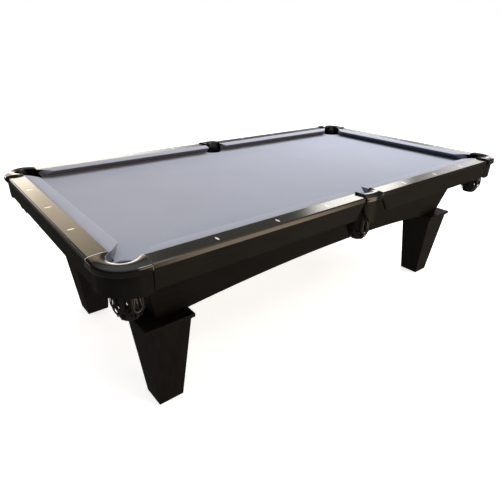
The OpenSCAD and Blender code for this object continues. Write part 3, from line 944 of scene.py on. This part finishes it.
# ---------------------------------------------------------------- pocket castings

# How far a casting's roll stands out past the rails, and its radius
ROLL_OUT = 0.0105
ROLL_R = 0.014
# Height of a casting over the skirt under it
RIM_T = 0.024
# Radius of the lip round its throat, and how much lower the dome is at its two edges
LIP = 0.007
INNER_FALL = 0.0025
OUTER_FALL = 0.0031
# Radii of the table's corners and of the throats
CORNER_R = 0.110
CORNER_HOLE = 0.050
SIDE_HOLE = 0.053
# How far the middle of a side throat is behind the nose, and how far its casting bulges out
SIDE_POCKET_OUT = 0.038
BULGE = 0.008
# Thickness of the liner that goes down into a pocket, and the play round it
LINER = 0.005
LINER_PLAY = 0.0005
# Visible joint between a casting and the rails beside it
SEAM = 0.002
# How far the roll hangs down in front of the skirt under it
HANG = 0.009
# Ease of a corner casting's end, as (share of the first step along it, how far the section draws in)
END_EASE = [(0.0, 0.0050), (0.22, 0.0022), (0.55, 0.0007)]
# The angle round a side throat where the roll ends and the sides between the rails begin
SIDE_KNEE = math.radians(52)
# Steps along a corner casting
CORNER_STEPS = 72


def spaced(points, count):
    """count + 1 points evenly along a line of points."""
    lengths = [0.0]
    for a, b in zip(points, points[1:]):
        lengths.append(lengths[-1] + (b - a).length)
    out, k = [], 0
    for i in range(count + 1):
        want = lengths[-1] * i / count
        while k < len(points) - 2 and lengths[k + 1] < want:
            k += 1
        t = (want - lengths[k]) / max(1e-9, lengths[k + 1] - lengths[k])
        out.append(points[k].lerp(points[k + 1], min(1.0, t)))
    return out


def rim_section(inner, outer, foot, roll=1.0, draw=0.0):
    """Section of a casting from its throat over the domed top to the roll and back under it.

    outer is a point on the side of the table and roll is the share of the roll's overhang there.
    draw is how far the top and the roll are drawn in, to round off an end.
    """
    along = outer - inner
    w = along.length
    along /= w
    top, under = rim_top - draw, rim_top - RIM_T
    pairs = [(0.0, foot), (0.0, top - 0.030), (0.0, top - 0.018)]
    for k in range(8):
        b = math.pi / 2 * k / 7
        pairs.append((LIP * (1 - math.cos(b)), top - 0.0110 + 0.0085 * math.sin(b)))
    knee = w - 0.002
    crown = 0.5 * (LIP + knee)
    for k in range(1, 10):
        x = LIP + (knee - LIP) * k / 10
        fall = INNER_FALL if x < crown else OUTER_FALL
        pairs.append((x, top - fall * ((x - crown) / (knee - crown)) ** 2))
    edge = w + ROLL_OUT * roll - draw
    middle = edge - ROLL_R
    for k in range(12):
        b = math.radians(84 - 84 * k / 11)
        rise = 0.007 + ROLL_R * math.sin(b) - draw * (1 - k / 11)
        pairs.append((middle + ROLL_R * math.cos(b), under + rise))
    low = under - (HANG if roll else 0.0)
    back = w + 0.0006 if roll else edge - 0.004
    pairs += [(edge, low + 0.0052), (edge - 0.0007, low + 0.0022), (edge - 0.0026, low + 0.0004)]
    pairs += [(edge - 0.0034, low), (back, low), (back, under), (LINER, under), (LINER, foot)]
    return [Vector((inner.x + along.x * a, inner.y + along.y * a, z)) for a, z in pairs]


def add_rim(name, node, rings, flip, material):
    """A casting through rings of points at the back right, turned over to its own place by flip."""
    verts, faces = [], []
    tube(verts, faces, rings)
    obj = mesh_object(name, [flip @ v for v in verts], faces, material)
    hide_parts(node)


def eased_end(end, beside):
    """Stations that round off the end of a casting, as (inner point, outer point, draw)."""
    return [(end[0].lerp(beside[0], t), end[1].lerp(beside[1], t), draw) for t, draw in END_EASE]


def add_corner_casting(quarter, sx, sy, material):
    """A casting round a corner, its throat open to the bed and its outside round."""
    low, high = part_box("casting_back_right")
    out_x, out_y = high.x - ROLL_OUT, high.y - ROLL_OUT
    arm_x, arm_y = out_x - CORNER_R, out_y - CORNER_R
    turn = math.radians(180 - CORNER_JAW)
    s, c = math.sin(turn), math.cos(turn)
    r = CORNER_HOLE
    reach = (corner_x - low.x - r * s) / c
    start = Vector((low.x + SEAM, corner_y + r * c - reach * s, 0))
    inner = [start]
    for i in range(41):
        a = math.pi / 2 + turn - (math.pi / 2 + 2 * turn) * i / 40
        inner.append(Vector((corner_x + r * math.cos(a), corner_y + r * math.sin(a), 0)))
    inner.append(Vector((corner_x + start.y - corner_y, corner_y + start.x - corner_x, 0)))
    outer = [Vector((low.x + SEAM, out_y, 0))]
    for i in range(41):
        a = math.pi / 2 * (1 - i / 40)
        outer.append(Vector((arm_x + CORNER_R * math.cos(a), arm_y + CORNER_R * math.sin(a), 0)))
    outer.append(Vector((out_x, low.y + SEAM, 0)))
    rings = []
    centre = Vector((corner_x, corner_y, 0))
    pairs = list(zip(spaced(inner, CORNER_STEPS), spaced(outer, CORNER_STEPS)))
    stations = [(a, b, 0.0) for a, b in pairs[1:-1]]
    stations[:0] = eased_end(pairs[0], pairs[1])
    stations += eased_end(pairs[-1], pairs[-2])[::-1]
    for a, b, draw in stations:
        deep = (a - centre).length < DROP_R - 2 * CLOTH - LINER - LINER_PLAY
        rings.append(rim_section(a, b, low.z if deep else bed_z + 0.0006, 1.0, draw))
    flip = Matrix.Diagonal((sx, sy, 1))
    add_rim(f"rim_{quarter}", f"casting_{quarter}", rings, flip, material)


def add_side_casting(side, sy, material):
    """A casting round a side pocket, between two rails, with a roll only where it faces outwards."""
    low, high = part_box("casting_side_back")
    half = high.x
    centre_y = nose_y + SIDE_POCKET_OUT
    # The table's side bulges out over the casting in a shallow arc
    middle = high.y - ROLL_OUT
    arc_r = (half * half + BULGE**2) / (2 * BULGE)
    arc_y = middle - arc_r
    first = math.asin((low.y - centre_y) / SIDE_HOLE)
    angles, outer, rolls = [], [], []
    ends = 13
    for i in range(ends):
        t = i / ends
        angles.append(first + (SIDE_KNEE - first) * t)
        outer.append(Vector((half, low.y + (middle - BULGE - low.y) * t, 0)))
        rolls.append(0.0)
    for i in range(41):
        t = i / 40
        angles.append(SIDE_KNEE + (math.pi - 2 * SIDE_KNEE) * t)
        x = half * (1 - 2 * t)
        outer.append(Vector((x, arc_y + math.sqrt(arc_r**2 - x * x), 0)))
        rolls.append(1.0)
    for i in reversed(range(ends)):
        angles.append(math.pi - angles[i])
        outer.append(Vector((-outer[i].x, outer[i].y, 0)))
        rolls.append(0.0)
    rings = []
    for a, b, roll in zip(angles, outer, rolls):
        a = Vector((SIDE_HOLE * math.cos(a), centre_y + SIDE_HOLE * math.sin(a), 0))
        rings.append(rim_section(a, b, low.z, roll))
    flip = Matrix.Diagonal((1, sy, 1))
    add_rim(f"rim_side_{side}", f"casting_side_{side}", rings, flip, material)


# ---------------------------------------------------------------- build

# Colours of the cloth's raised and sunken fibres, and of the lacquered wood
BLUE_LIGHT = (0.37, 0.39, 0.47)
BLUE_DARK = (0.29, 0.31, 0.39)
WARM = (0.0075, 0.0065, 0.0055)
BLACK = (0.0035, 0.0033, 0.0030)
# Finishes of the lacquered wood and of the pocket skirts
RAIL_SHINE = {"roughness": (0.13, 0.19), "coat": 0.35, "gleam": 0.5}
APRON_SATIN = {"roughness": (0.42, 0.52), "coat": 0.0, "gleam": 0.10}
CABINET_SATIN = {"roughness": (0.48, 0.58), "coat": 0.0, "gleam": 0.10}
SKIRT_SATIN = {"roughness": (0.35, 0.45), "coat": 0.0, "grain": 500, "gleam": 0.10}
# How far the floor reaches each way, how far it lies under the table's feet, and how much it glows
FLOOR_REACH = 150
FLOOR_DROP = 0.0005
FLOOR_GLOW = 0.72


def dress_boards(kind, finish, bevel):
    """Dresses the boards at the ends, whose grain runs across the table, and those along it."""
    dress(f"{kind}_end", lacquer(f"{kind}_lacquer_across", "Y", WARM, BLACK, **finish), bevel)
    along = lacquer(f"{kind}_lacquer_along", "X", WARM, BLACK, **finish)
    dress(f"{kind}_front", along, bevel)
    dress(f"{kind}_back", along, bevel)


def add_floor():
    """A plain pale floor that glows a little, and that no reflection shows."""
    p = Paint("studio_floor", 0.9)
    p.set("Specular IOR Level", 0.0)
    p.set("Emission Color", (1.0, 1.0, 1.0, 1))
    p.set("Emission Strength", FLOOR_GLOW)
    p.colour(p.ramp(p.noise(3, 2), (0.3, (0.90, 0.90, 0.90)), (0.7, (0.93, 0.93, 0.93))))
    mesh = bpy.data.meshes.new("floor")
    r = FLOOR_REACH
    mesh.from_pydata([(-r, -r, 0), (r, -r, 0), (r, r, 0), (-r, r, 0)], [], [(0, 1, 2, 3)])
    mesh.materials.append(p.material)
    floor = bpy.data.objects.new("floor", mesh)
    bpy.context.scene.collection.objects.link(floor)
    floor.location.z = -FLOOR_DROP
    floor.visible_glossy = False


bpy.context.scene.view_settings.view_transform = "Standard"
add_camera()
add_world()
area_light("overhead", (1.7, 1.0, 2.9), (0.6, 0.2, 0.75), (2.4, 1.8), 60, (1.0, 1.0, 1.0))
area_light("far_end", (2.3, 0.1, 2.1), (1.0, 0.0, 0.75), (1.2, 1.2), 16, (0.97, 0.98, 1.0))

bed_felt = felt("bed_felt", BLUE_LIGHT, BLUE_DARK)
cushion_felt = felt("cushion_felt", BLUE_LIGHT, BLUE_DARK)
dress_boards("rail", RAIL_SHINE, 0.0012)
dress_boards("apron", APRON_SATIN, 0.002)
dress_boards("cabinet", CABINET_SATIN, 0.0015)
dress("leg_", lacquer("leg_lacquer", "Z", WARM, BLACK, **CABINET_SATIN), 0.0025)
dress("skirt_", gloss("skirt_satin", (0.006, 0.006, 0.005), (0.0035, 0.0035, 0.003), **SKIRT_SATIN))
dress("rail_sights", pearl())
dress("slate_", stone())
dress("slate_backing", raw_wood("backing_stained", "X", (0.060, 0.044, 0.030), (0.030, 0.022, 0.015)))
zinc = steel("zinc_plate", (0.62, 0.62, 0.60), (0.3, 0.45))
for prefix in ("slate_screws", "rail_bolts", "leg_bolts", "stem_"):
    dress(prefix, zinc)
dress("pad_", steel("blacked_steel", (0.06, 0.06, 0.06), (0.4, 0.55)), 0.0008)
dress("frame_beams", raw_wood("beam_pine", "X", (0.66, 0.50, 0.31), (0.50, 0.34, 0.19)))
dress("feather_strips", raw_wood("strip_beech", "X", (0.60, 0.44, 0.28), (0.48, 0.33, 0.20)))
dress("cushion_rubber", rubber())

flat_size, flat_area = add_bed_cloth(bed_felt)
add_cushions(cushion_felt)
hide = leather("net_hide", (0.016, 0.014, 0.012), (0.005, 0.0045, 0.004), (0.26, 0.42), 0.12)
rim_black = gloss("rim_black", (0.008, 0.007, 0.006), (0.004, 0.004, 0.003), (0.08, 0.13), 0.3, 150)
for quarter, (sx, sy) in QUARTERS.items():
    spin = math.atan2(sy, sx)
    add_net(f"net_{quarter}", "corner_nets", sx * corner_x, sy * corner_y, net_low.z, spin, hide)
for side, sy in (("front", -1), ("back", 1)):
    spin = sy * math.pi / 2
    add_net(f"net_side_{side}", "side_nets", 0, sy * side_y, side_net_low.z, spin, hide)
for quarter, (sx, sy) in QUARTERS.items():
    add_corner_casting(quarter, sx, sy, rim_black)
for side, sy in (("front", -1), ("back", 1)):
    add_side_casting(side, sy, rim_black)
add_floor()


print("bed cloth", [round(x, 4) for x in flat_size], round(flat_area, 4))
